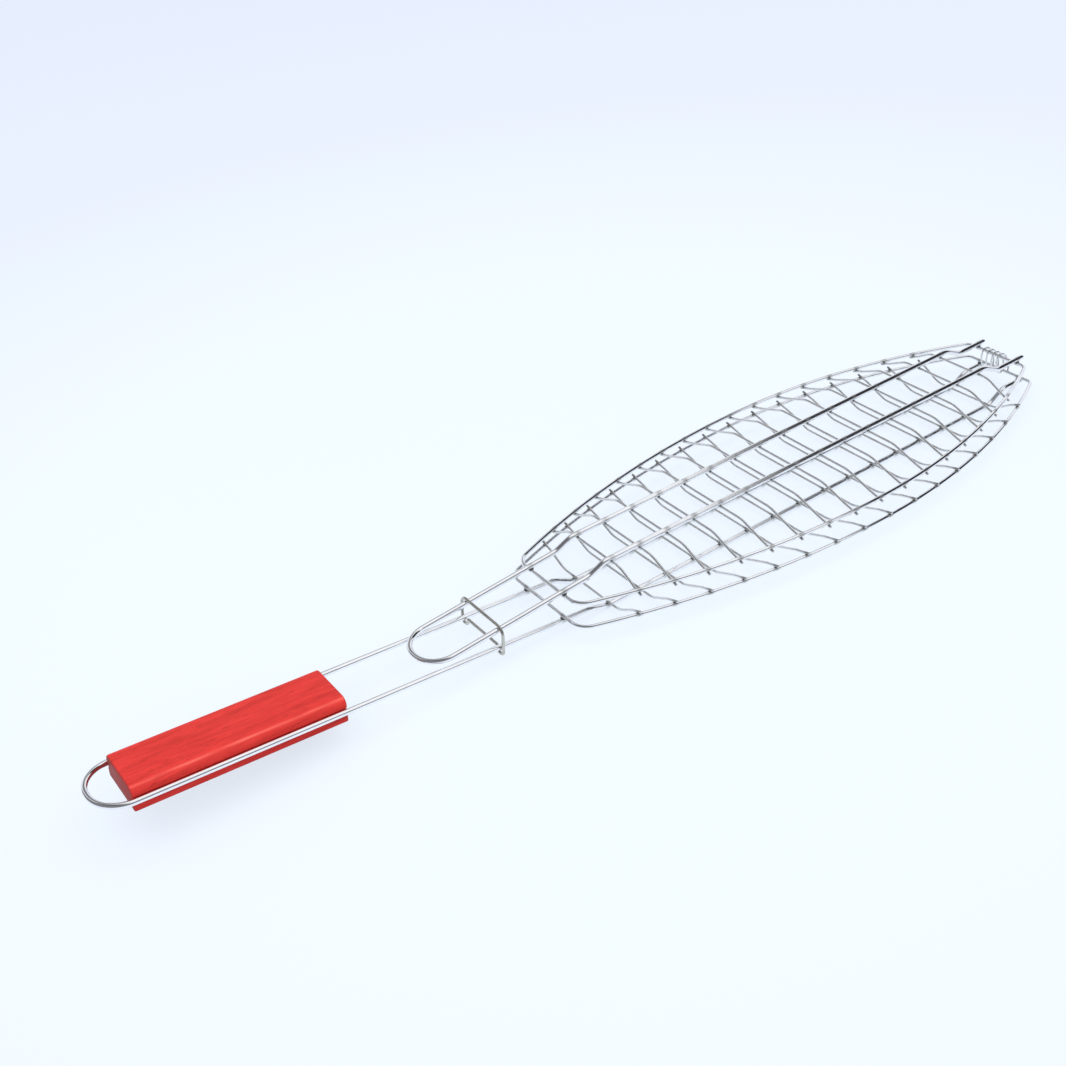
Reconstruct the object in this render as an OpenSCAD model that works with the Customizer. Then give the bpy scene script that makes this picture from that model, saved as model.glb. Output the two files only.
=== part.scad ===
// Hinged wire grill basket with a wooden grip.
// Two shallow halves of sprung wire close on each other like a book. They turn on a
// loose coil at the tip and are locked by a latch that slides along the handle.
// X runs from the handle to the tip, Z is up, and the basket stands on its lower wires.

/* [Handle] */
// From the basket's neck bar to the centre of the hanging loop, along the legs
handle_l = 252.5; // [180:1:400]
// Distance between the two legs, centre to centre
leg_gap = 36; // [24:0.5:60]
// Angle at which the handle climbs away from the basket
handle_tilt = 5.5; // [0:0.1:10]
// Length of the wooden grip
grip_l = 117; // [80:1:160]
// Width of the wooden grip
grip_w = 34; // [22:0.5:58]
// Thickness of the wooden grip
grip_t = 15; // [10:0.5:24]
// Rounding of the grip's long edges
grip_round = 4.5; // [2:0.1:7]

/* [Basket] */
// Length of the lower rim, from its neck bar to its tip bar
rim_l = 380.5; // [250:1:500]
// Greatest width of the lower rim
rim_w = 143.8; // [90:1:220]
// From the neck bar to the widest place
widest_x = 199; // [120:1:300]
// Radius of the long curve from the widest place to the neck
neck_curve_r = 540; // [300:5:900]
// Radius of the long curve from the widest place to the tip
tip_curve_r = 386; // [250:2:800]
// Corner radius beside the neck bar
neck_corner_r = 11; // [5:0.5:20]
// Corner radius beside the tip bar
tip_corner_r = 5.5; // [3:0.5:15]
// Number of cross wires in each half
wires = 16; // [6:1:18]
// Distance between the two long stringers that carry the cross wires
stringer_gap = 32.4; // [20:0.2:50]
// How far the lower stringers hang below the lower rim
lower_depth = 9.8; // [6:0.1:16]
// How far the upper stringers stand above the upper rim
upper_depth = 9; // [6:0.1:16]

/* [Upper half] */
// Distance between the planes of the two rims
rim_lift = 12; // [8:0.1:20]
// How far the upper neck bar stands inside the lower one
upper_neck_in = 3; // [3:0.1:12]
// How far the upper tip bar stands inside the lower one
upper_tip_in = 4; // [2:0.1:10]
// Greatest width of the upper rim
upper_rim_w = 133.6; // [80:0.2:210]
// Radius of the upper rim's long curve towards the neck
upper_neck_curve_r = 520; // [300:5:900]
// Radius of the upper rim's long curve towards the tip
upper_tip_curve_r = 386; // [250:2:800]
// How far the upper frame's end reaches over the handle, from the neck bar
reach = 86; // [50:1:110]
// Angle at which the upper frame's end drops towards the handle
reach_tilt = 4.2; // [0:0.1:8]

/* [Wire sizes] */
// Frame wire: handle, stringers and the upper half's frame
frame_d = 3.4; // [2.4:0.1:5]
// Rim wire
rim_d = 2.4; // [1.6:0.1:4]
// Cross wire
cross_d = 1.6; // [1:0.1:2.4]
// Latch wire
latch_d = 1.8; // [1.4:0.1:3]
// Hinge coil wire
coil_d = 1.2; // [1:0.1:2]

/* [Latch and hinge] */
// From the neck bar back to the closed latch
latch_back = 42.5; // [30:0.5:60]
// Turns of the hinge coil
coil_turns = 4; // [3:0.5:7]
// Width of the hinge coil over its end turns
coil_w = 18; // [12:0.5:22]

/* [Hidden] */
function two_digits(n) = str(n < 10 ? "0" : "", n);
function wire_name(half, n) = str(half, "_cross_wire_", two_digits(n));
SIDES = ["left", "right"];
PAIRS = ["handle_leg", "lower_stringer", "lower_tip", "upper_stringer", "upper_tip"];

$fn = 48;
weld = 0.1;           // depth to which welded wires sink into each other
slack = 0.3;          // room round each loose wire
butt_gap = 0.1;       // between the two ends of a rim's wire, at the middle of its neck bar
rim_step = 9;         // length of a facet along a rim's long curves
bead = 0.06;          // what the bead on a joint in a wire adds to its diameter
lap = 0.08;           // stretch of each joint that only its bead fills
chrome = [0.80, 0.82, 0.85];
red_stain = [0.86, 0.22, 0.21];

leg_y = leg_gap / 2;
string_y = stringer_gap / 2;
frame_to_rim = (frame_d + rim_d) / 2 - weld;
cross_to_rim = (cross_d + rim_d) / 2 - weld;
cross_to_frame = (cross_d + frame_d) / 2 - weld;
bend_r = 12;          // bends of the frame wires
frame_sides = 16;     // facets round a frame wire
rim_sides = 12;       // facets round a rim's wire
turn_flat = 0.6;      // half of the short flat in the middle of a frame wire's round end

// A rim is [neck bar x, tip bar x, half width, neck curve radius, tip curve radius].
lower_shape = [0, rim_l, rim_w / 2, neck_curve_r, tip_curve_r];
upper_shape = [upper_neck_in, rim_l - upper_tip_in, upper_rim_w / 2, upper_neck_curve_r, upper_tip_curve_r];

// Everything below is worked out from the neck bar of the lower rim. The model's own
// origin is under the middle of its length, on the surface that it stands on.
coil_x = (lower_shape[1] + upper_shape[1]) / 2;
coil_z = rim_lift / 2;
bar_lean = atan2(upper_tip_in, rim_lift);   // the upper tip bar stands a little behind the lower one
coil_high = norm([upper_tip_in, rim_lift]) / 2 + (rim_d + coil_d) / 2 + slack + 0.05;
coil_wide = 4.6;      // half the oval coil's width, to the middle of its wire
tip_end = coil_x + norm([coil_wide * cos(bar_lean), coil_high * sin(bar_lean)]) + coil_d / 2;
loop_end = (handle_l + leg_y) * cos(handle_tilt) + frame_d / 2;
middle_x = (tip_end - loop_end) / 2;
stand_z = lower_depth + frame_d / 2;

function unit(v) = v / norm(v);
function mirror_y(points) = [for (i = [len(points) - 1:-1:0]) [points[i][0], -points[i][1], points[i][2]]];
function reversed(list) = [for (i = [len(list) - 1:-1:0]) list[i]];
function bend_angle(p, q, s) = acos(unit(q - p) * unit(s - q));
function bend_cut(p, q, s, r) = r * tan(bend_angle(p, q, s) / 2);
function on_circle(c, r, a) = [c[0] + r * cos(a), c[1] + r * sin(a), 0];

// Moves the working frame from the neck bar to the model's origin.
module placed() translate([-middle_x, 0, stand_z]) children();

// The handle's own frame: the legs lie in its XY plane and run from X = 0 to -handle_l.
module on_handle() translate([0, 0, -frame_to_rim]) rotate([0, handle_tilt, 0]) children();

// A hair-thin bead closes the joint between two stretches of one wire.
module joint_bead(p, d) translate(p) rotate([90, 0, 0]) sphere(d = d + bead);

module straight(a, b, d) {
  v = b - a;
  translate(a) rotate([0, acos(v[2] / norm(v)), atan2(v[1], v[0])]) cylinder(h = norm(v), d = d);
}

// A round bend at q, on the way from p to s.
module elbow(p, q, s, r, d) {
  along = unit(q - p);
  next = unit(s - q);
  inward = unit(next - (next * along) * along);
  centre = q - along * bend_cut(p, q, s, r) + inward * r;
  up = cross(along, inward);
  multmatrix([
    [-inward[0], along[0], up[0], centre[0]],
    [-inward[1], along[1], up[1], centre[1]],
    [-inward[2], along[2], up[2], centre[2]],
    [0, 0, 0, 1]])
    rotate_extrude(angle = bend_angle(p, q, s)) translate([r, 0]) circle(d = d);
}

// A wire along the corner points, with a bend of its own radius at each of them.
module bent_wire(points, radii, d) {
  last = len(points) - 1;
  cuts = [for (i = [0:last]) i == 0 || i == last ? 0
    : bend_cut(points[i - 1], points[i], points[i + 1], radii[i])];
  for (i = [1:last]) {
    along = unit(points[i] - points[i - 1]);
    a = points[i - 1] + along * cuts[i - 1];
    b = points[i] - along * cuts[i];
    straight(a + along * (i > 1 ? lap : 0), b - along * (i < last ? lap : 0), d);
    if (i > 1) joint_bead(a, d);
    if (i < last) joint_bead(b, d);
  }
  for (i = [1:last - 1]) elbow(points[i - 1], points[i], points[i + 1], radii[i], d);
}

// The points along a bend at q, on the way from p to s.
function bend_points(p, q, s, r) = let (
  along = unit(q - p),
  next = unit(s - q),
  inward = unit(next - (next * along) * along),
  centre = q - along * bend_cut(p, q, s, r) + inward * r,
  angle = bend_angle(p, q, s),
  steps = max(3, ceil(angle / 8)))
  [for (k = [0:steps]) centre + r * (along * sin(angle * k / steps) - inward * cos(angle * k / steps))];

function bent_path(points, radii) = let (last = len(points) - 1)
  [for (i = [0:last]) each i == 0 || i == last ? [points[i]]
    : bend_points(points[i - 1], points[i], points[i + 1], radii[i])];

// The faces of a tube made of rings of points, closed at both ends.
function tube_faces(rings, sides) = concat(
  [[for (k = [0:sides - 1]) k]],
  [for (i = [0:rings - 2], k = [0:sides - 1]) let (here = i * sides, there = here + sides, next = (k + 1) % sides)
    [here + k, there + k, there + next, here + next]],
  [[for (k = [sides - 1:-1:0]) (rings - 1) * sides + k]]);

// A wire swept along a path that never stands upright.
module swept_wire(path, d, sides) {
  last = len(path) - 1;
  points = [for (i = [0:last]) let (
    before = i == 0 ? path[1] - path[0] : path[i] - path[i - 1],
    after = i == last ? before : path[i + 1] - path[i],
    ahead = unit(unit(before) + unit(after)),
    across = unit(cross([0, 0, 1], ahead)),
    over = cross(ahead, across))
    each [for (k = [0:sides - 1]) let (a = 360 * k / sides)
      path[i] + d / 2 * (across * cos(a) + over * sin(a))]];
  polyhedron(points = points, faces = tube_faces(last + 1, sides));
}

// Points along a flat arc between two angles, a step or less apart.
function arc_points(centre, r, from, to, step) = let (n = max(4, ceil(abs(to - from) * PI / 180 * r / step)))
  [for (k = [0:n]) on_circle(centre, r, from + (to - from) * k / n)];

function neck_centre(rim) = [widest_x, rim[2] - rim[3]];
function tip_centre(rim) = [widest_x, rim[2] - rim[4]];

// Half the rim's width at x, on its two long curves.
function half_width(rim, x) = let (r = x < widest_x ? rim[3] : rim[4])
  rim[2] - r + sqrt(r * r - pow(x - widest_x, 2));

// Centre of the corner arc that touches both a bar at x and the long curve round c.
function corner(x, side, c, long_r, r) = let (cx = x + side * r)
  [cx, c[1] + sqrt(pow(long_r - r, 2) - pow(cx - c[0], 2))];

// A rim: one wire bent round two straight bars and tangent arcs, the same on both sides,
// with its two ends butted at the middle of the neck bar.
module rim_ring(rim) {
  neck = neck_centre(rim);
  tip = tip_centre(rim);
  neck_corner = corner(rim[0], 1, neck, rim[3], neck_corner_r);
  tip_corner = corner(rim[1], -1, tip, rim[4], tip_corner_r);
  neck_turn = atan2(neck_corner[1] - neck[1], neck_corner[0] - neck[0]);
  tip_turn = atan2(tip_corner[1] - tip[1], tip_corner[0] - tip[0]);
  side = concat(
    [[rim[0], butt_gap / 2, 0]],
    arc_points(neck_corner, neck_corner_r, 180, neck_turn, 2),
    without_first(arc_points(neck, rim[3], neck_turn, 90, rim_step)),
    without_first(arc_points(tip, rim[4], 90, tip_turn, rim_step)),
    without_first(arc_points(tip_corner, tip_corner_r, tip_turn, 0, 1.5)));
  swept_wire(concat(side, mirror_y(side)), rim_d, rim_sides);
}

function without_first(list) = [for (i = [1:len(list) - 1]) list[i]];

// ---- lower half ----

lower_string_z = -lower_depth;
lower_step = [19, 30];              // where the legs bend down and where the stringers begin
lower_rise = [rim_l - 16, rim_l - 28];
lower_overhang = 3;                 // wire end past the tip bar

// A point of the handle's frame: s back along the legs, y across, h above the legs' plane.
function handle_point(s, y, h) = [
  -s * cos(handle_tilt) + h * sin(handle_tilt), y,
  -frame_to_rim + s * sin(handle_tilt) + h * cos(handle_tilt)];

// The handle's loop, both legs, both stringers and their raised ends are one wire. It is
// built in stretches that meet end to end: the loop, and on each side a leg, a stringer and a tip.
stretch = 5;                        // from the corner of a step to where the next stretch begins
lower_tip_start = [lower_rise[1] - stretch, string_y, lower_string_z];
lower_leg_start = [lower_step[1] + stretch, string_y, lower_string_z];

// The left side is the one on the left hand when the handle is held; the right is its mirror image.
module on_side(side) mirror([0, side == "left" ? 0 : 1, 0]) children();
module frame_wire(points, radii) color(chrome) swept_wire(bent_path(points, radii), frame_d, frame_sides);

module handle_loop() placed() {
  side = [handle_point(handle_l, leg_y, 0), handle_point(handle_l + leg_y, leg_y, 0)];
  bend = leg_y - turn_flat;
  frame_wire(concat(side, mirror_y(side)), [0, bend, bend, 0]);
}

module handle_leg(side) placed() on_side(side) frame_wire(
  [lower_leg_start, [lower_step[1], string_y, lower_string_z], handle_point(-lower_step[0], leg_y, 0),
    handle_point(handle_l, leg_y, 0)],
  [0, bend_r, bend_r, 0]);

module lower_stringer(side) placed() on_side(side) frame_wire([lower_tip_start, lower_leg_start], [0, 0]);

module lower_tip(side) placed() on_side(side) frame_wire(
  [[rim_l + lower_overhang, string_y, -frame_to_rim], [lower_rise[0], string_y, -frame_to_rim],
    [lower_rise[1], string_y, lower_string_z], lower_tip_start],
  [0, bend_r, bend_r, 0]);

groove_slack = 0.05;
grip_end = 1.5;                      // grip's end face past the loop's centre

// The grip's section: rounded long edges, and a groove for the leg in each side.
module grip_section() difference() {
  union() {
    square([grip_t - 2 * grip_round, grip_w], center = true);
    square([grip_t, grip_w - 2 * grip_round], center = true);
    for (x = [-1, 1], y = [-1, 1])
      translate([x * (grip_t / 2 - grip_round), y * (grip_w / 2 - grip_round)]) circle(r = grip_round);
  }
  for (y = [-1, 1]) translate([0, y * leg_y]) circle(d = frame_d + 2 * groove_slack);
}

module handle_grip() color(red_stain) placed() on_handle()
  translate([-handle_l - grip_end, 0, 0]) rotate([0, 90, 0]) linear_extrude(grip_l) grip_section();

module lower_rim() color(chrome) placed() rim_ring(lower_shape);

wire_end = 1.8;                      // wire end past the rim
shoulder = 0.87;                     // where a wire's slope eases off, as a share of its half width
shoulder_drop = 2.3;                 // height from there to the rim
dish = 0.59;                         // where the flat middle ends, as a share of the half width
cross_bend_r = 16;

// A cross wire lies flat on the stringers, slopes to the rim and eases off as it meets it.
module cross_wire(half_w, rim_z, flat_z) {
  away = sign(flat_z - rim_z);
  lean = atan(shoulder_drop / (half_w * (1 - shoulder)));
  rest_z = rim_z - away * cross_to_rim / cos(lean);
  side = [
    [0, half_w + wire_end, rest_z - away * tan(lean) * wire_end],
    [0, half_w * shoulder, rest_z + away * shoulder_drop],
    [0, half_w * dish, flat_z]];
  radii = [0, cross_bend_r, cross_bend_r];
  bent_wire(concat(side, mirror_y(side)), concat(radii, reversed(radii)), cross_d);
}

first_lower_x = 32;                  // from the lower neck bar to the first wire
last_lower_x = rim_l - 32;
first_upper_x = 37;
last_upper_x = rim_l - 41.5;
function wire_x(first, last, n) = first + (n - 1) * (last - first) / (wires - 1);

module lower_cross_wire(n) {
  x = wire_x(first_lower_x, last_lower_x, n);
  color(chrome) placed() translate([x, 0, 0])
    cross_wire(half_width(lower_shape, x), 0, lower_string_z + cross_to_frame);
}

// ---- upper half ----

upper_string_z = rim_lift + upper_depth;
upper_leg_z = rim_lift + frame_to_rim;
upper_step = [21, 32.5];
upper_drop = [rim_l - 23, rim_l - 36];
upper_overhang = 5.5;

// The upper frame is one wire too: a round neck end over the handle, two stringers, two tips.
upper_tip_start = [upper_drop[1] - stretch, string_y, upper_string_z];
upper_neck_start = [upper_step[1] + stretch, string_y, upper_string_z];

module upper_neck() placed() {
  fall = tan(reach_tilt);
  side = [
    upper_neck_start,
    [upper_step[1], string_y, upper_string_z],
    [upper_step[0], string_y, upper_leg_z + (upper_step[0] - upper_neck_in) * fall],
    [-reach, string_y, upper_leg_z - (reach + upper_neck_in) * fall]];
  radii = [0, bend_r, bend_r, string_y - turn_flat];
  frame_wire(concat(side, mirror_y(side)), concat(radii, reversed(radii)));
}

module upper_stringer(side) placed() on_side(side) frame_wire([upper_tip_start, upper_neck_start], [0, 0]);

module upper_tip(side) placed() on_side(side) frame_wire(
  [[upper_shape[1] + upper_overhang, string_y, upper_leg_z], [upper_drop[0], string_y, upper_leg_z],
    [upper_drop[1], string_y, upper_string_z], upper_tip_start],
  [0, bend_r, bend_r, 0]);

module upper_rim() color(chrome) placed() translate([0, 0, rim_lift]) rim_ring(upper_shape);

module upper_cross_wire(n) {
  x = wire_x(first_upper_x, last_upper_x, n);
  color(chrome) placed() translate([x, 0, 0])
    cross_wire(half_width(upper_shape, x), rim_lift, upper_string_z - cross_to_frame);
}

// ---- hinge coil ----

coil_steps = 28;                     // rings for each turn
coil_sides = 8;
coil_rings = coil_turns * coil_steps;
coil_pitch = (coil_w - coil_d) / coil_turns;
coil_rest = 3;                       // the loose coil lies a little to one side

// A point of the coil's wire: turns of an oval, with the wire's own circle square to the oval.
function coil_point(i, side) = let (
  a = 360 * i / coil_steps - 90,
  b = 360 * side / coil_sides,
  out = unit([coil_high * cos(a), 0, coil_wide * sin(a)]),
  r = coil_d / 2)
  [coil_wide * cos(a) + r * cos(b) * out[0],
    coil_pitch * (i / coil_steps - coil_turns / 2) + r * sin(b),
    coil_high * sin(a) + r * cos(b) * out[2]];

// A plain spiral of wire, loose round both tip bars.
module hinge_coil() color(chrome) placed() translate([coil_x, coil_rest, coil_z]) rotate([0, -bar_lean, 0])
  polyhedron(
    points = [for (i = [0:coil_rings], side = [0:coil_sides - 1]) coil_point(i, side)],
    faces = tube_faces(coil_rings + 1, coil_sides));

// ---- latch ----

hook_r = (frame_d + latch_d) / 2 + slack;
latch_corner_r = 3;
latch_tuck_r = 1;
latch_bar_h = -0.2;                    // lower bar, above the legs' plane
hook_flat = 0.25;                    // half of the short flat at the bottom of each hook
hook_drop = 1.3;                     // centre of each hook, below the legs' plane
// Top of the upper frame's legs over the closed latch, above the lower legs' plane.
latch_top_h = (upper_leg_z - (latch_back + upper_neck_in) * tan(reach_tilt)
  + frame_to_rim) / cos(handle_tilt) - latch_back * tan(handle_tilt) + (frame_d + latch_d) / 2 + slack;

// One wire: a bar over the upper legs, a hook under each lower leg, and a bar between the hooks.
module latch_slider() {
  out = leg_y + hook_r;
  in = leg_y - hook_r;
  side = [
    [0, 0, latch_top_h],
    [0, out, latch_top_h],
    [0, out, -hook_drop - hook_r],
    [0, in, -hook_drop - hook_r],
    [0, in, latch_bar_h],
    [0, 0, latch_bar_h]];
  radii = [0, latch_corner_r, hook_r - hook_flat, hook_r - hook_flat, latch_tuck_r, 0];
  color(chrome) placed() on_handle() translate([-latch_back / cos(handle_tilt), 0, 0])
    for (turn = [0, 1]) mirror([0, turn, 0]) bent_wire(side, radii, latch_d);
}

handle_loop();
handle_grip();
lower_rim();
upper_neck();
upper_rim();
hinge_coil();
latch_slider();
for (side = SIDES) {
  handle_leg(side);
  lower_stringer(side);
  lower_tip(side);
  upper_stringer(side);
  upper_tip(side);
}
for (n = [1:wires]) {
  lower_cross_wire(n);
  upper_cross_wire(n);
}
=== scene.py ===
"""Looks of a hinged wire grill basket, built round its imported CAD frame.

Sizes and paths are in millimetres in the construction's own frame, whose origin is the middle
of the lower rim's neck bar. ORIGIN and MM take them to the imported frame, in metres.
"""
import math

import bmesh
import bpy
from mathutils import Matrix, Vector, noise


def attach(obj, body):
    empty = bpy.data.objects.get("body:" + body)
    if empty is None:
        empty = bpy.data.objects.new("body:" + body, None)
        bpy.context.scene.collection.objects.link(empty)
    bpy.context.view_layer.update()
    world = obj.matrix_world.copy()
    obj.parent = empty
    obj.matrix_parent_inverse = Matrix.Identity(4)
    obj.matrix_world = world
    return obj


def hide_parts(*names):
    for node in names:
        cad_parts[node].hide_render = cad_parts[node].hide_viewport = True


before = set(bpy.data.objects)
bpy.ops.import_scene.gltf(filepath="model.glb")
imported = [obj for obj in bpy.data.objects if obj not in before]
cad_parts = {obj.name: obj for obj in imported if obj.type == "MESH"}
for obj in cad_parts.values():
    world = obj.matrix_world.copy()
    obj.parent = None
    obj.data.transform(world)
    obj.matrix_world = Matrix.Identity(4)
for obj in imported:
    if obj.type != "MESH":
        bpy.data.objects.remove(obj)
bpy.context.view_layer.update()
scene = bpy.context.scene
MM = 0.001

# ---- sizes, the same as the construction's ----
HANDLE_L, LEG_GAP, TILT = 252.5, 36.0, math.radians(5.5)
GRIP_L, GRIP_W, GRIP_T, GRIP_ROUND, GRIP_END = 117.0, 34.0, 15.0, 4.5, 1.5
RIM_L, WIDEST_X = 380.5, 199.0
NECK_CORNER_R, TIP_CORNER_R = 11.0, 5.5
WIRES, STRING_GAP = 16, 32.4
LOWER_DEPTH, UPPER_DEPTH, RIM_LIFT = 9.8, 9.0, 12.0
UPPER_NECK_IN, UPPER_TIP_IN = 3.0, 4.0
REACH, REACH_TILT = 86.0, math.radians(4.2)
FRAME_D, RIM_D, CROSS_D, LATCH_D, COIL_D = 3.4, 2.4, 1.6, 1.8, 1.2
LATCH_BACK, COIL_TURNS, COIL_W, COIL_WIDE, COIL_REST = 42.5, 4.0, 18.0, 4.6, 3.0
HOOK_DROP, HOOK_FLAT, LATCH_BAR_H, LATCH_TUCK_R = 1.3, 0.25, -0.2, 1.0
# Along X: where the frame wires leave the rims' height near the neck and come back to it near the
# tip, and how far their ends pass the tip bars.
LOWER_STEP, LOWER_RISE, LOWER_OVERHANG = (19.0, 30.0), (RIM_L - 16, RIM_L - 28), 3.0
UPPER_STEP, UPPER_DROP, UPPER_OVERHANG = (21.0, 32.5), (RIM_L - 23, RIM_L - 36), 5.5
WELD, SLACK = 0.1, 0.3
BEND_R, TURN_FLAT, CROSS_BEND_R = 12.0, 0.6, 16.0
WIRE_END, SHOULDER, SHOULDER_DROP, DISH = 1.8, 0.87, 2.3, 0.59
# Rounded here otherwise than in the construction: the latch's upper corners, the grip's lower edges.
LATCH_ROUND, UNDER_ROUND = 5.0, 1.2

LEG_Y, STRING_Y = LEG_GAP / 2, STRING_GAP / 2
FRAME_TO_RIM = (FRAME_D + RIM_D) / 2 - WELD
CROSS_TO_RIM = (CROSS_D + RIM_D) / 2 - WELD
CROSS_TO_FRAME = (CROSS_D + FRAME_D) / 2 - WELD
LOWER_STRING_Z, UPPER_STRING_Z = -LOWER_DEPTH, RIM_LIFT + UPPER_DEPTH
UPPER_LEG_Z = RIM_LIFT + FRAME_TO_RIM
# A rim is (neck bar x, tip bar x, half width, neck curve radius, tip curve radius).
LOWER_SHAPE = (0.0, RIM_L, 71.9, 540.0, 386.0)
UPPER_SHAPE = (UPPER_NECK_IN, RIM_L - UPPER_TIP_IN, 66.8, 520.0, 386.0)
LOWER_WIRES = (32.0, RIM_L - 32.0)
UPPER_WIRES = (37.0, RIM_L - 41.5)

COIL_X, COIL_Z = RIM_L - UPPER_TIP_IN / 2, RIM_LIFT / 2
BAR_LEAN = math.atan2(UPPER_TIP_IN, RIM_LIFT)
COIL_HIGH = math.hypot(UPPER_TIP_IN, RIM_LIFT) / 2 + (RIM_D + COIL_D) / 2 + SLACK + 0.05
COIL_REACH = math.hypot(COIL_WIDE * math.cos(BAR_LEAN), COIL_HIGH * math.sin(BAR_LEAN))
TIP_END = COIL_X + COIL_REACH + COIL_D / 2
LOOP_END = (HANDLE_L + LEG_Y) * math.cos(TILT) + FRAME_D / 2
ORIGIN = Vector((-(TIP_END - LOOP_END) / 2, 0, LOWER_DEPTH + FRAME_D / 2))


def V(*c):
    return Vector(c)


def handle_point(s, y, h):
    """s back along the legs, y across, h above the plane of the legs."""
    c, t = math.cos(TILT), math.sin(TILT)
    return V(-s * c + h * t, y, -FRAME_TO_RIM + s * t + h * c)


def mirrored(points):
    return [V(p.x, -p.y, p.z) for p in reversed(points)]


# ---- paths ----


def bend(p, q, s, r, step=math.radians(5)):
    """Points along a round bend at q, on the way from p to s."""
    along, ahead = (q - p).normalized(), (s - q).normalized()
    angle = along.angle(ahead)
    inward = (ahead - along * ahead.dot(along)).normalized()
    centre = q - along * r * math.tan(angle / 2) + inward * r
    n = max(3, math.ceil(angle / step))
    turns = [angle * k / n for k in range(n + 1)]
    return [centre + r * (along * math.sin(turn) - inward * math.cos(turn)) for turn in turns]


def bent_path(points, radii):
    path = [points[0]]
    for i in range(1, len(points) - 1):
        path += bend(points[i - 1], points[i], points[i + 1], radii[i])
    return path + [points[-1]]


def both_sides(side, radii):
    return bent_path(side + mirrored(side), radii + radii[::-1])


def resampled(path, step, closed=False):
    """The path with no stretch longer than step."""
    out = []
    count = len(path)
    for i in range(count if closed else count - 1):
        a, b = path[i], path[(i + 1) % count]
        n = max(1, math.ceil((b - a).length / step))
        out += [a.lerp(b, k / n) for k in range(n)]
    return out if closed else out + [path[-1]]


def half_width(rim, x):
    """How far a rim lies from the middle line at x."""
    r = rim[3] if x < WIDEST_X else rim[4]
    return rim[2] - r + math.sqrt(r * r - (x - WIDEST_X) ** 2)


def arc(centre, r, start, end, step):
    n = max(3, math.ceil(abs(end - start) * r / step))
    turns = [start + (end - start) * k / n for k in range(n + 1)]
    return [V(centre[0] + r * math.cos(a), centre[1] + r * math.sin(a), 0) for a in turns]


def rim_path(rim, z):
    """From the neck bar's middle to the tip bar's, then the same mirrored: a closed ring."""
    half = [V(rim[0], 0, 0)]
    neck, tip = (WIDEST_X, rim[2] - rim[3]), (WIDEST_X, rim[2] - rim[4])
    x = rim[0] + NECK_CORNER_R
    corner = (x, neck[1] + math.sqrt((rim[3] - NECK_CORNER_R) ** 2 - (x - WIDEST_X) ** 2))
    turn = math.atan2(corner[1] - neck[1], corner[0] - neck[0])
    half += arc(corner, NECK_CORNER_R, math.pi, turn, 0.9)
    half += arc(neck, rim[3], turn, math.pi / 2, 3)[1:]
    x = rim[1] - TIP_CORNER_R
    corner = (x, tip[1] + math.sqrt((rim[4] - TIP_CORNER_R) ** 2 - (x - WIDEST_X) ** 2))
    turn = math.atan2(corner[1] - tip[1], corner[0] - tip[0])
    half += arc(tip, rim[4], math.pi / 2, turn, 3)[1:]
    half += arc(corner, TIP_CORNER_R, turn, 0, 0.7)[1:]
    half.append(V(rim[1], 0, 0))
    ring = half + mirrored(half)[1:-1]
    return [p + V(0, 0, z) for p in ring]


def lower_frame_path():
    side = [V(RIM_L + LOWER_OVERHANG, STRING_Y, -FRAME_TO_RIM),
            V(LOWER_RISE[0], STRING_Y, -FRAME_TO_RIM), V(LOWER_RISE[1], STRING_Y, LOWER_STRING_Z),
            V(LOWER_STEP[1], STRING_Y, LOWER_STRING_Z), handle_point(-LOWER_STEP[0], LEG_Y, 0),
            handle_point(HANDLE_L + LEG_Y, LEG_Y, 0)]
    return both_sides(side, [0, BEND_R, BEND_R, BEND_R, BEND_R, LEG_Y - TURN_FLAT])


def upper_frame_path():
    fall = math.tan(REACH_TILT)
    side = [V(UPPER_SHAPE[1] + UPPER_OVERHANG, STRING_Y, UPPER_LEG_Z),
            V(UPPER_DROP[0], STRING_Y, UPPER_LEG_Z), V(UPPER_DROP[1], STRING_Y, UPPER_STRING_Z),
            V(UPPER_STEP[1], STRING_Y, UPPER_STRING_Z),
            V(UPPER_STEP[0], STRING_Y, UPPER_LEG_Z + (UPPER_STEP[0] - UPPER_NECK_IN) * fall),
            V(-REACH, STRING_Y, UPPER_LEG_Z - (REACH + UPPER_NECK_IN) * fall)]
    return both_sides(side, [0, BEND_R, BEND_R, BEND_R, BEND_R, STRING_Y - TURN_FLAT])


def cross_path(x, half_w, rim_z, flat_z):
    """A cross wire: flat over the stringers, dished up to shoulders and ending just past the rims."""
    away = 1 if flat_z > rim_z else -1
    lean = math.atan(SHOULDER_DROP / (half_w * (1 - SHOULDER)))
    rest = rim_z - away * CROSS_TO_RIM / math.cos(lean)
    side = [V(x, half_w + WIRE_END, rest - away * math.tan(lean) * WIRE_END),
            V(x, half_w * SHOULDER, rest + away * SHOULDER_DROP), V(x, half_w * DISH, flat_z)]
    return both_sides(side, [0, CROSS_BEND_R, CROSS_BEND_R])


def wire_x(ends, n):
    return ends[0] + n * (ends[1] - ends[0]) / (WIRES - 1)


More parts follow.
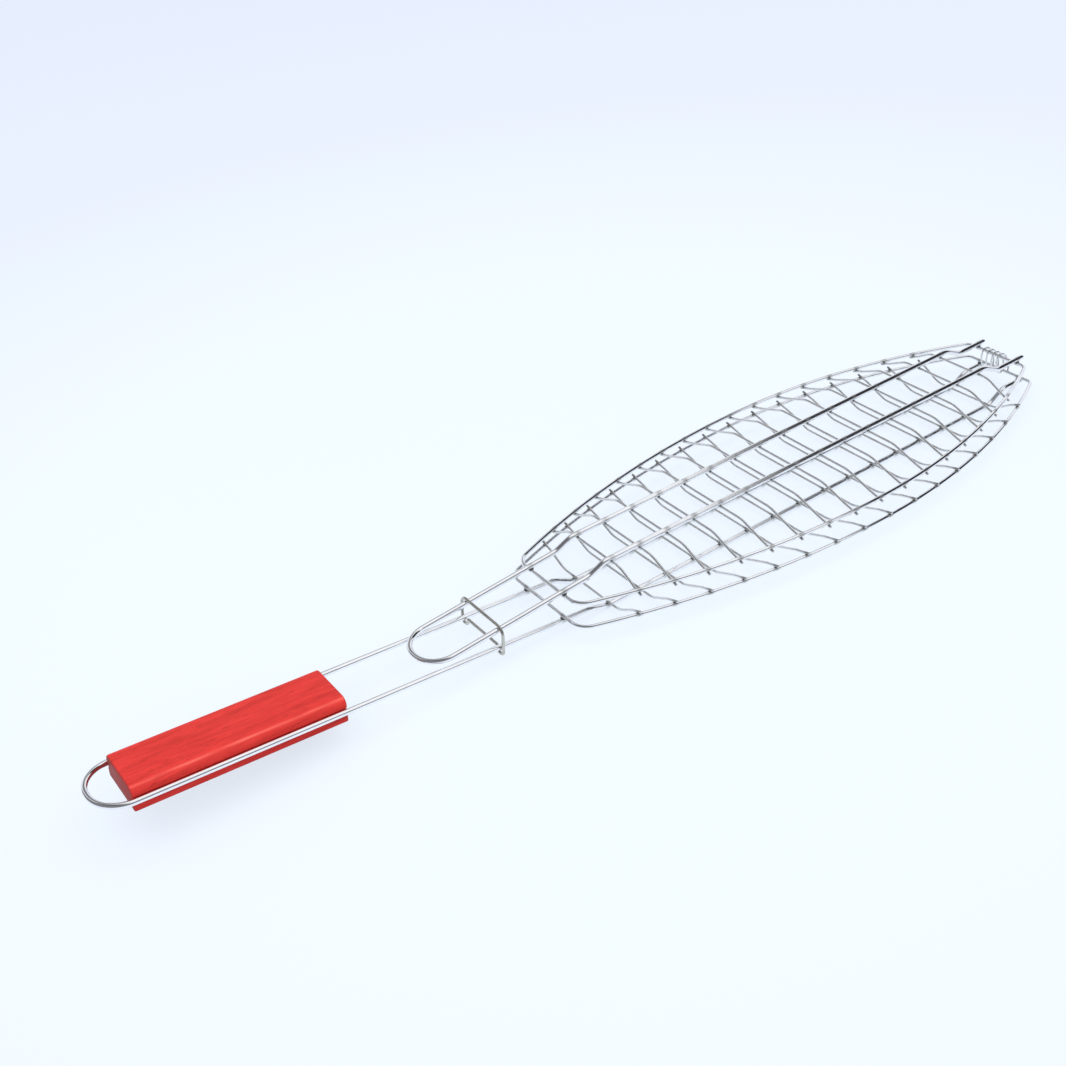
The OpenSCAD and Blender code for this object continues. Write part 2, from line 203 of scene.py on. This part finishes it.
def latch_path():
    """A loop over the upper legs that hooks under the lower ones and runs between them."""
    hook_r = (FRAME_D + LATCH_D) / 2 + SLACK
    upper_leg_z = UPPER_LEG_Z - (LATCH_BACK + UPPER_NECK_IN) * math.tan(REACH_TILT)
    top = ((upper_leg_z + FRAME_TO_RIM) / math.cos(TILT) - LATCH_BACK * math.tan(TILT)
           + hook_r)
    outer, inner = LEG_Y + hook_r, LEG_Y - hook_r
    back = LATCH_BACK / math.cos(TILT)
    low = -HOOK_DROP - hook_r
    corners = [handle_point(back, y, h) for y, h in
               ((outer, top), (outer, low), (inner, low), (inner, LATCH_BAR_H))]
    radii = [LATCH_ROUND, hook_r - HOOK_FLAT, hook_r - HOOK_FLAT, LATCH_TUCK_R]
    start, end = handle_point(back, 0, top), handle_point(back, 0, LATCH_BAR_H)
    half = bent_path([start] + corners + [end], [0] + radii + [0])
    return half + mirrored(half)[1:-1]


def coil_path(per_turn=48):
    """A helix of leaning ovals round both tip bars."""
    n = round(COIL_TURNS * per_turn)
    pitch = (COIL_W - COIL_D) / COIL_TURNS
    c, t = math.cos(BAR_LEAN), math.sin(BAR_LEAN)
    out = []
    for i in range(n + 1):
        a = 2 * math.pi * i / per_turn - math.pi / 2
        x, z = COIL_WIDE * math.cos(a), COIL_HIGH * math.sin(a)
        y = COIL_REST + pitch * (i / per_turn - COIL_TURNS / 2)
        out.append(V(COIL_X + x * c - z * t, y, COIL_Z + x * t + z * c))
    return out


# ---- meshes ----


def finish_mesh(bm, name, body, material, nodes=()):
    mesh = bpy.data.meshes.new(name)
    bmesh.ops.recalc_face_normals(bm, faces=bm.faces)
    bm.to_mesh(mesh)
    bm.free()
    for poly in mesh.polygons:
        poly.use_smooth = True
    obj = bpy.data.objects.new(name, mesh)
    scene.collection.objects.link(obj)
    mesh.materials.append(material)
    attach(obj, body)
    if nodes:
        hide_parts(*nodes)
    return obj


def directions(path, closed):
    """The wire's direction at each point: the mean of the stretches on both sides of it."""
    count = len(path)
    out = []
    for i, p in enumerate(path):
        ahead = V(0, 0, 0)
        if i or closed:
            ahead += (p - path[i - 1]).normalized()
        if i < count - 1 or closed:
            ahead += (path[(i + 1) % count] - p).normalized()
        out.append(ahead.normalized())
    return out


def sheared_end(point, ahead, inward, r):
    """Three stations from a cut end's flat face to the full wire; inward is 1 or -1 along ahead."""
    edge = r * 0.2
    steps = ((0.0, 1.0), (0.35, 0.3), (1.0, 0.0))
    return [(point + ahead * inward * edge * along, ahead, r - edge * narrower)
            for along, narrower in steps]


def bridge(bm, a, b):
    for k in range(len(a)):
        bm.faces.new((a[k], a[(k + 1) % len(a)], b[(k + 1) % len(a)], b[k]))


def add_tube(bm, path, d, sides, closed=False, welds=(), reach=3.0):
    """A round wire along the path, with "weld" rising from 0 to 1 within reach of a weld."""
    stain = bm.verts.layers.float.get("weld") or bm.verts.layers.float.new("weld")
    stations = [(p, ahead, d / 2) for p, ahead in zip(path, directions(path, closed))]
    if not closed:
        first, last = stations[0], stations[-1]
        stations = (sheared_end(first[0], first[1], 1, d / 2) + stations[1:-1]
                    + sheared_end(last[0], last[1], -1, d / 2)[::-1])
    rings = []
    normal = None
    for p, ahead, r in stations:
        if normal is None:
            up = V(0, 0, 1) if abs(ahead.z) < 0.9 else V(1, 0, 0)
            normal = up.cross(ahead).normalized()
        else:
            normal = (normal - ahead * normal.dot(ahead)).normalized()
        over = ahead.cross(normal)
        near = min(((p - w).length for w in welds), default=math.inf)
        ring = []
        for k in range(sides):
            a = 2 * math.pi * k / sides
            v = bm.verts.new((p + ORIGIN + (normal * math.cos(a) + over * math.sin(a)) * r) * MM)
            v[stain] = max(0.0, 1 - near / reach)
            ring.append(v)
        rings.append(ring)
    for a, b in zip(rings, rings[1:]):
        bridge(bm, a, b)
    if not closed:
        bm.faces.new(rings[0])
        bm.faces.new(rings[-1])
        return
    # The ring may come back turned by some angle: join it to the vertices that lie nearest.
    first, last = rings[0], rings[-1]

    def gap(turn):
        return sum((first[(k + turn) % sides].co - last[k].co).length for k in range(sides))

    turn = min(range(sides), key=gap)
    bridge(bm, last, first[turn:] + first[:turn])


def add_nugget(bm, centre, radii, seed):
    """A small uneven blob of weld metal."""
    stain = bm.verts.layers.float.get("weld") or bm.verts.layers.float.new("weld")
    made = bmesh.ops.create_uvsphere(bm, u_segments=12, v_segments=8, radius=1.0)["verts"]
    for v in made:
        wobble = 1 + 0.22 * noise.noise(v.co * 1.4 + V(seed * 7.3, seed * 1.7, 0))
        blob = V(v.co.x * radii[0], v.co.y * radii[1], v.co.z * radii[2]) * wobble
        v.co = (blob + centre + ORIGIN) * MM
        v[stain] = 1.0


def wire_piece(name, path, d, sides, body, material, nodes, closed=False, welds=()):
    bm = bmesh.new()
    add_tube(bm, path, d, sides, closed, welds)
    return finish_mesh(bm, name, body, material, nodes)


# ---- materials ----

class Nodes:
    """A short hand for building a node tree."""

    def __init__(self, tree):
        self.tree = tree
        self.tree.nodes.clear()

    def add(self, kind, **settings):
        """A node; a setting that starts with in_ goes to the input of that name."""
        node = self.tree.nodes.new(kind)
        for key, value in settings.items():
            if key.startswith("in_"):
                node.inputs[key[3:].replace("_", " ")].default_value = value
            else:
                setattr(node, key, value)
        return node

    def link(self, a, b):
        self.tree.links.new(a, b)

    def feed(self, value, socket):
        """A link, a colour or a number into a socket."""
        if isinstance(value, bpy.types.NodeSocket):
            self.link(value, socket)
        elif isinstance(value, tuple):
            socket.default_value = (*value, 1)
        else:
            socket.default_value = value

    def ramp(self, source, stops):
        node = self.add("ShaderNodeValToRGB")
        elements = node.color_ramp.elements
        while len(elements) < len(stops):
            elements.new(0.5)
        for element, (at, colour) in zip(elements, stops):
            element.position = at
            element.color = (*colour, 1)
        self.link(source, node.inputs["Fac"])
        return node.outputs["Color"]

    def mix(self, fac, a, b, blend_type="MIX"):
        node = self.add("ShaderNodeMix", data_type="RGBA", blend_type=blend_type)
        for value, socket in ((fac, node.inputs["Factor"]), (a, node.inputs[6]), (b, node.inputs[7])):
            self.feed(value, socket)
        return node.outputs[2]

    def math(self, operation, *values, use_clamp=False):
        node = self.add("ShaderNodeMath", operation=operation, use_clamp=use_clamp)
        for value, socket in zip(values, node.inputs):
            self.feed(value, socket)
        return node.outputs[0]

    def scale(self, value, by, plus=0.0):
        return self.math("MULTIPLY_ADD", value, by, plus)

    def soft_step(self, value, at, width=0.03):
        """0 below at, 1 above it, with a soft edge."""
        node = self.add("ShaderNodeMapRange", interpolation_type="SMOOTHSTEP")
        self.link(value, node.inputs["Value"])
        node.inputs["From Min"].default_value = at - width
        node.inputs["From Max"].default_value = at + width
        return node.outputs["Result"]

    def falling(self, value, at, width=0.03):
        """1 below at, 0 above it."""
        return self.math("SUBTRACT", 1.0, self.soft_step(value, at, width))

    def clouds(self, place, **settings):
        node = self.add("ShaderNodeTexNoise", **settings)
        self.link(place, node.inputs["Vector"])
        return node.outputs["Fac"]

    def stretched(self, place, along, across):
        """Places for a pattern drawn out along X: that many repeats a metre along and across."""
        node = self.add("ShaderNodeMapping")
        node.inputs["Scale"].default_value = (along, across, across)
        self.link(place, node.inputs["Vector"])
        return node.outputs[0]

    def attribute(self, name):
        return self.add("ShaderNodeAttribute", attribute_name=name).outputs["Fac"]

    def bump(self, height, strength, distance):
        node = self.add("ShaderNodeBump", in_Strength=strength, in_Distance=distance)
        self.link(height, node.inputs["Height"])
        return node.outputs[0]


def new_material(name):
    material = bpy.data.materials.new(name)
    material.use_nodes = True
    return material, Nodes(material.node_tree)


def principled(name):
    """A material with a Principled shader, its nodes, the shader's inputs and object places."""
    material, n = new_material(name)
    shader = n.add("ShaderNodeBsdfPrincipled")
    n.link(shader.outputs[0], n.add("ShaderNodeOutputMaterial").inputs["Surface"])
    return material, n, shader.inputs, n.add("ShaderNodeTexCoord").outputs["Object"]


CLOUD_SCALE, FINE_SCALE, SPECK_SCALE = 90.0, 2600.0, 700.0


def metal(name, colour, dull, weld_colour, roughness, weld_roughness, cloud_scale=CLOUD_SCALE):
    """Plated wire: bright metal with cloudy plating, fine marks, and scorched patches at the welds."""
    material, n, shader, place = principled(name)
    shader["Metallic"].default_value = 1.0
    cloud = n.clouds(place, in_Scale=cloud_scale, in_Detail=4.0, in_Roughness=0.6)
    fine = n.clouds(place, in_Scale=FINE_SCALE, in_Detail=2.0)
    speck = n.clouds(place, in_Scale=SPECK_SCALE, in_Detail=3.0)
    scorch = n.math("MULTIPLY", n.attribute("weld"), n.scale(speck, 1.6, 0.1), use_clamp=True)
    base = n.mix(n.ramp(cloud, [(0.35, (0, 0, 0)), (0.7, (1, 1, 1))]), colour, dull)
    n.link(n.mix(scorch, base, weld_colour), shader["Base Color"])
    plain = n.scale(cloud, roughness, roughness * 0.5)
    n.link(n.math("MULTIPLY_ADD", scorch, weld_roughness - roughness, plain), shader["Roughness"])
    n.link(n.bump(fine, 0.08, 0.0001), shader["Normal"])
    return material


def stained_wood(name):
    """Red stained wood with its grain along X and pores, a painted highlight along the shoulder line
    and painted shade on the end faces.
    """
    material, n, shader, place = principled(name)
    shader["Roughness"].default_value = 0.55
    shader["Specular IOR Level"].default_value = 0.20
    shader["Coat Weight"].default_value = 0.06
    shader["Coat Roughness"].default_value = 0.30
    streak = n.clouds(n.stretched(place, 14.0, 420.0),
                      in_Scale=1.0, in_Detail=6.0, in_Roughness=0.65, in_Distortion=0.6)
    figure = n.clouds(n.stretched(place, 24.0, 95.0),
                      in_Scale=1.0, in_Detail=3.0, in_Roughness=0.5, in_Distortion=1.2)
    pore = n.clouds(n.stretched(place, 160.0, 1100.0), in_Scale=1.0, in_Detail=2.0, in_Roughness=0.5)
    wood = n.ramp(streak, [(0.26, (0.62, 0.034, 0.027)), (0.5, (0.79, 0.044, 0.036)),
                           (0.74, (0.88, 0.054, 0.044))])
    shade = n.ramp(figure, [(0.32, (0.87, 0.76, 0.76)), (0.62, (1, 1, 1))])
    ticks = n.ramp(pore, [(0.28, (0.74, 0.72, 0.72)), (0.40, (1, 1, 1))])
    wood = n.mix(1.0, n.mix(1.0, wood, shade, "MULTIPLY"), ticks, "MULTIPLY")
    # Painted highlight: a brighter red along the shoulder line.
    wood = n.mix(n.attribute("wear"), wood, (1.0, 0.17, 0.13))
    # Painted shade: the softened end faces darker.
    wood = n.mix(n.scale(n.attribute("end_grain"), 0.85), wood, (0.34, 0.024, 0.020))
    n.link(wood, shader["Base Color"])
    n.link(n.bump(streak, 0.10, 0.0003), shader["Normal"])
    return material


# Colour, duller colour, scorched colour, roughness, roughness where scorched.
CHROME = metal("plated_steel", (0.93, 0.94, 0.96), (0.86, 0.87, 0.90), (0.16, 0.15, 0.13), 0.10, 0.38)
SPRING = metal("plated_spring", (0.80, 0.80, 0.80), (0.70, 0.70, 0.70), (0.3, 0.28, 0.24), 0.16, 0.4)
THIN = metal("thin_plated_steel",
             (0.84, 0.84, 0.85), (0.72, 0.72, 0.72), (0.16, 0.15, 0.13), 0.22, 0.40)
LATCH = metal("latch_steel", (0.62, 0.60, 0.56), (0.46, 0.44, 0.40), (0.2, 0.19, 0.16), 0.26, 0.45)
NUGGET = metal("weld_metal",
               (0.42, 0.41, 0.37), (0.30, 0.29, 0.26), (0.15, 0.14, 0.12), 0.3, 0.42, 500.0)
WOOD = stained_wood("stained_wood")

# ---- wires ----

LOWER, UPPER, WIRE_SLOT = "lower_basket", "upper_basket", "chrome_wire"
THICK_STEP, THIN_STEP, LATCH_STEP = 1.6, 1.5, 1.2


def pairs(*names):
    return ["%s_%s" % (name, side) for name in names for side in ("left", "right")]


def cross_wires(half, rim, ends, rim_z, string_z):
    """The cross wires of one half, and the places where they are welded on."""
    away = 1 if string_z > rim_z else -1
    spots = []
    for n in range(WIRES):
        x = wire_x(ends, n)
        w = half_width(rim, x)
        welds = [V(x, s * y, z) for s in (1, -1)
                 for y, z in ((STRING_Y, string_z - away * FRAME_D / 2), (w, rim_z - away * RIM_D / 2))]
        spots += welds
        path = resampled(cross_path(x, w, rim_z, string_z - away * CROSS_TO_FRAME), THIN_STEP)
        name = "%s_cross_wire_%02d" % (half, n + 1)
        wire_piece("wire_" + name, path, CROSS_D, 12, half + "_basket", THIN, (name,),
                   welds=welds)
    return spots


lower_welds = cross_wires("lower", LOWER_SHAPE, LOWER_WIRES, 0, LOWER_STRING_Z)
upper_welds = cross_wires("upper", UPPER_SHAPE, UPPER_WIRES, RIM_LIFT, UPPER_STRING_Z)
lower_joins = [V(x, s * y, -RIM_D / 2) for s in (1, -1) for x, y in ((0, LEG_Y), (RIM_L, STRING_Y))]
upper_joins = [V(x, s * STRING_Y, RIM_LIFT + RIM_D / 2) for s in (1, -1) for x in UPPER_SHAPE[:2]]

wire_piece("wire_lower_frame", resampled(lower_frame_path(), THICK_STEP), FRAME_D, 24,
           LOWER, CHROME,
           ["handle_loop"] + pairs("handle_leg", "lower_stringer", "lower_tip"),
           welds=lower_welds + lower_joins)
wire_piece("wire_upper_frame", resampled(upper_frame_path(), THICK_STEP), FRAME_D, 24,
           UPPER, CHROME,
           ["upper_neck"] + pairs("upper_stringer", "upper_tip"),
           welds=upper_welds + upper_joins)
wire_piece("wire_lower_rim", resampled(rim_path(LOWER_SHAPE, 0), THICK_STEP, True), RIM_D, 20,
           LOWER, CHROME, ("lower_rim",), True, lower_welds + lower_joins)
wire_piece("wire_upper_rim", resampled(rim_path(UPPER_SHAPE, RIM_LIFT), THICK_STEP, True), RIM_D, 20,
           UPPER, CHROME, ("upper_rim",), True, upper_welds + upper_joins)
wire_piece("wire_latch", resampled(latch_path(), LATCH_STEP, True), LATCH_D, 20,
           "latch", LATCH, ("latch_slider",), True)
wire_piece("wire_coil", coil_path(), COIL_D, 14,
           "hinge_coil", SPRING, ("hinge_coil",))

CROSS_WELD, JOIN_WELD = (1.45, 1.25, 0.62), (1.9, 1.9, 0.85)
AT_STRINGER, AT_RIM = 0.75, 0.55
JOIN_SEED = 100

for body, spots, joins in ((LOWER, lower_welds, lower_joins), (UPPER, upper_welds, upper_joins)):
    bm = bmesh.new()
    for i, spot in enumerate(spots):
        size = AT_RIM if i % 2 else AT_STRINGER
        add_nugget(bm, spot, [r * size for r in CROSS_WELD], i)
    for i, spot in enumerate(joins):
        add_nugget(bm, spot, JOIN_WELD, JOIN_SEED + i)
    finish_mesh(bm, "welds_" + body, body, NUGGET)

# ---- grip ----

GROOVE_ROOM, END_SOFT = 0.4, 0.8
CORNER_STEPS, GROOVE_STEPS, LENGTH_STEPS = 12, 14, 40
# Where the painted highlight lies round the upper corners, and how wide it is.
HIGHLIGHT_AT, HIGHLIGHT_WIDE = 4, 1.1
WANDER, SHARP_EDGE = 0.12, math.radians(50)


def corner(w, t, r, start, turn):
    """A quarter circle of the section's near side; t is above or below the legs."""
    centre_h = t - math.copysign(r, t)
    turns = [start + turn * k / CORNER_STEPS for k in range(CORNER_STEPS + 1)]
    return [(w - r + r * math.cos(a), centre_h + r * math.sin(a)) for a in turns]


def grip_outline(inset):
    """The grip's section as (across, above, share of painted highlight) points, with a groove for a leg
    in each side.
    """
    groove_r = FRAME_D / 2 + GROOVE_ROOM + inset
    w, t = GRIP_W / 2 - inset, GRIP_T / 2 - inset
    top = corner(w, t, GRIP_ROUND - inset, math.pi / 2, -math.pi / 2)
    # A painted highlight runs along a line on the upper corners, a third of the way round.
    points = [(y, h, math.exp(-((k - HIGHLIGHT_AT) / HIGHLIGHT_WIDE) ** 2)) for k, (y, h) in enumerate(top)]
    lip = math.acos(max(-1.0, min(1.0, (w - LEG_Y) / groove_r)))
    for k in range(GROOVE_STEPS + 1):
        a = lip + (2 * math.pi - 2 * lip) * k / GROOVE_STEPS
        points.append((LEG_Y + groove_r * math.cos(a), groove_r * math.sin(a), 0.0))
    points += [(y, h, 0.0) for y, h in corner(w, -t, UNDER_ROUND - inset, 0, -math.pi / 2)]
    return points + [(-y, h, highlight_share) for y, h, highlight_share in reversed(points)]


def grip_mesh():
    bm = bmesh.new()
    wear = bm.verts.layers.float.new("wear")
    end_grain = bm.verts.layers.float.new("end_grain")
    front, back = HANDLE_L + GRIP_END - GRIP_L, HANDLE_L + GRIP_END
    stations = [(front, END_SOFT), (front + END_SOFT * 0.3, END_SOFT * 0.3), (front + END_SOFT, 0.0)]
    straight = back - front - 2 * END_SOFT
    stations += [(front + END_SOFT + straight * k / LENGTH_STEPS, 0.0) for k in range(1, LENGTH_STEPS)]
    stations += [(back - END_SOFT, 0.0), (back - END_SOFT * 0.3, END_SOFT * 0.3), (back, END_SOFT)]
    rings = []
    for s, inset in stations:
        ring = []
        for y, h, highlight_share in grip_outline(inset):
            wander = 0
            if inset == 0.0 and abs(abs(y) - LEG_Y) > 3.5:
                wander = WANDER * noise.noise(V(s * 0.03, y * 0.1, h * 0.1))
            v = bm.verts.new((handle_point(s, y, h + wander) + ORIGIN) * MM)
            # The painted highlight, patchy along the grip.
            v[wear] = highlight_share * (0.6 + 0.8 * noise.noise(V(s * 0.07, y, 3.0)))
            # Painted shade, full on the end faces and fading over their rounding.
            v[end_grain] = inset / END_SOFT
            ring.append(v)
        rings.append(ring)
    for a, b in zip(rings, rings[1:]):
        bridge(bm, a, b)
    bm.faces.new(rings[0])
    bm.faces.new(rings[-1])
    return bm


grip = finish_mesh(grip_mesh(), "wooden_grip", LOWER, WOOD, ("handle_grip",))
grip.data.set_sharp_from_angle(angle=SHARP_EDGE)

# ---- stage ----


def floor(name, size, material):
    bm = bmesh.new()
    bmesh.ops.create_grid(bm, x_segments=1, y_segments=1, size=size)
    mesh = bpy.data.meshes.new(name)
    bm.to_mesh(mesh)
    bm.free()
    obj = bpy.data.objects.new(name, mesh)
    mesh.materials.append(material)
    scene.collection.objects.link(obj)


PAPER, GLOW_NEAR, GLOW_AWAY = (0.27, 0.285, 0.30), (0.63, 0.69, 0.76), (0.58, 0.625, 0.74)
GLOW_MIDDLE, GLOW_EDGE, GLOW_SOFT = (0.05, 0.15, 0.0), 0.53, 0.27


def paper(name):
    """Pale paper: it takes the shadow, and glows for the camera and for mirroring wires only."""
    material, n = new_material(name)
    diffuse = n.add("ShaderNodeBsdfDiffuse", in_Color=(*PAPER, 1))
    glow = n.add("ShaderNodeEmission", in_Strength=1.0)
    dark = n.add("ShaderNodeEmission", in_Strength=0.0)
    # A little dimmer away from the object.
    distance = n.add("ShaderNodeVectorMath", operation="DISTANCE")
    n.link(n.add("ShaderNodeTexCoord").outputs["Object"], distance.inputs[0])
    distance.inputs[1].default_value = GLOW_MIDDLE
    away = n.soft_step(distance.outputs["Value"], GLOW_EDGE, GLOW_SOFT)
    n.link(n.mix(away, GLOW_NEAR, GLOW_AWAY), glow.inputs["Color"])
    rays = n.add("ShaderNodeLightPath").outputs
    shown = n.add("ShaderNodeMixShader")
    n.link(n.math("MAXIMUM", rays["Is Camera Ray"], rays["Is Glossy Ray"]), shown.inputs[0])
    n.link(dark.outputs[0], shown.inputs[1])
    n.link(glow.outputs[0], shown.inputs[2])
    total = n.add("ShaderNodeAddShader")
    n.link(diffuse.outputs[0], total.inputs[0])
    n.link(shown.outputs[0], total.inputs[1])
    n.link(total.outputs[0], n.add("ShaderNodeOutputMaterial").inputs["Surface"])
    return material


floor("floor", 8.0, paper("floor_paper"))

PALE_WALLS, OVERHEAD = (0.80, 0.82, 0.88), (0.98, 0.99, 1.0)
LEFT_GREY, BACK_GREY, NEAR_GREY, RIGHT_BLACK = (
    (0.12, 0.12, 0.13), (0.22, 0.22, 0.23), (0.22, 0.22, 0.23), (0.03, 0.03, 0.035))
FAR_LIGHT, NEAR_LIGHT = (0.58, 0.59, 0.61), (0.80, 0.80, 0.81)
BACKDROP = (0.78, 0.82, 0.95)


def mirrored_room(n, x, y, z):
    """What the bright wires mirror, by direction.

    Pale walls, and a bright overhead that is grey at the back and dark at the left. The near side
    and the far left are grey up to a slanting edge, and the near right is black.
    """
    at_back = n.math("MULTIPLY", n.soft_step(y, 0.5, 0.05), n.falling(x, 0.47, 0.05))
    at_back = n.math("MULTIPLY", at_back, n.soft_step(x, -0.25, 0.08))
    at_left = n.math("MULTIPLY", n.falling(x, 0.0, 0.16), n.falling(y, 0.45, 0.05))
    overhead = n.mix(at_back, n.mix(at_left, OVERHEAD, LEFT_GREY), BACK_GREY)
    room = n.mix(n.soft_step(z, 0.46, 0.04), PALE_WALLS, overhead)
    near_side = n.math("MAXIMUM", n.falling(y, -0.42, 0.06), n.falling(x, -0.42, 0.06))
    low = n.math("MINIMUM", n.falling(n.math("ADD", z, n.scale(x, 0.35)), 0.74, 0.06),
                 n.falling(n.math("ADD", z, n.scale(x, 2.44)), 1.43, 0.06))
    room = n.mix(n.math("MULTIPLY", near_side, low), room, NEAR_GREY)
    at_right = n.falling(n.math("ADD", x, n.scale(y, 0.5)), 0.85, 0.04)
    at_right = n.math("MULTIPLY", n.soft_step(x, 0.545), at_right)
    return n.mix(at_right, room, RIGHT_BLACK)


def studio():
    """Even daylight, the mirrored room for glossy rays, and a plain backdrop for the camera."""
    world = bpy.data.worlds.new("studio")
    scene.world = world
    world.use_nodes = True
    n = Nodes(world.node_tree)
    background = n.add("ShaderNodeBackground", in_Strength=1.0)
    n.link(background.outputs[0], n.add("ShaderNodeOutputWorld").inputs["Surface"])
    rays = n.add("ShaderNodeLightPath").outputs
    split = n.add("ShaderNodeSeparateXYZ")
    n.link(n.add("ShaderNodeTexCoord").outputs["Generated"], split.inputs[0])
    x, y, z = (split.outputs[axis] for axis in "XYZ")
    daylight = n.mix(n.falling(y, 0.0, 0.6), FAR_LIGHT, NEAR_LIGHT)
    shown = n.mix(rays["Is Glossy Ray"], daylight, mirrored_room(n, x, y, z))
    n.link(n.mix(rays["Is Camera Ray"], shown, BACKDROP), background.inputs["Color"])


studio()


def softbox(name, place, aim, size, power):
    light = bpy.data.lights.new(name, "AREA")
    light.shape = "RECTANGLE"
    light.size, light.size_y = size
    light.energy = power
    obj = bpy.data.objects.new(name, light)
    obj.location = place
    obj.rotation_euler = (V(*aim) - V(*place)).to_track_quat("-Z", "Y").to_euler()
    scene.collection.objects.link(obj)
    return obj


lamp = softbox("top_light", (-0.35, -0.75, 1.75), (0, 0, 0), (2.8, 2.8), 24)
# The wires mirror the room's overhead instead of the lamp's face.
lamp.visible_glossy = False

# ---- camera, as fitted to the photo ----

forward = V(0.42254, 0.70793, -0.56594).normalized()
right = V(0.81532, -0.56963, -0.10381)
right = (right - forward * right.dot(forward)).normalized()
up = right.cross(forward)
camera = bpy.data.objects.new("camera", bpy.data.cameras.new("camera"))
camera.data.sensor_width = 36
camera.data.lens = 49.228
camera.data.clip_start = 0.01
stand_off = (V(-340.77, -567.43, 502.38) + ORIGIN) * MM
turned = Matrix((right, up, -forward)).transposed().to_4x4()
camera.matrix_world = Matrix.Translation(stand_off) @ turned
scene.collection.objects.link(camera)
scene.camera = camera
scene.view_settings.view_transform = "Standard"
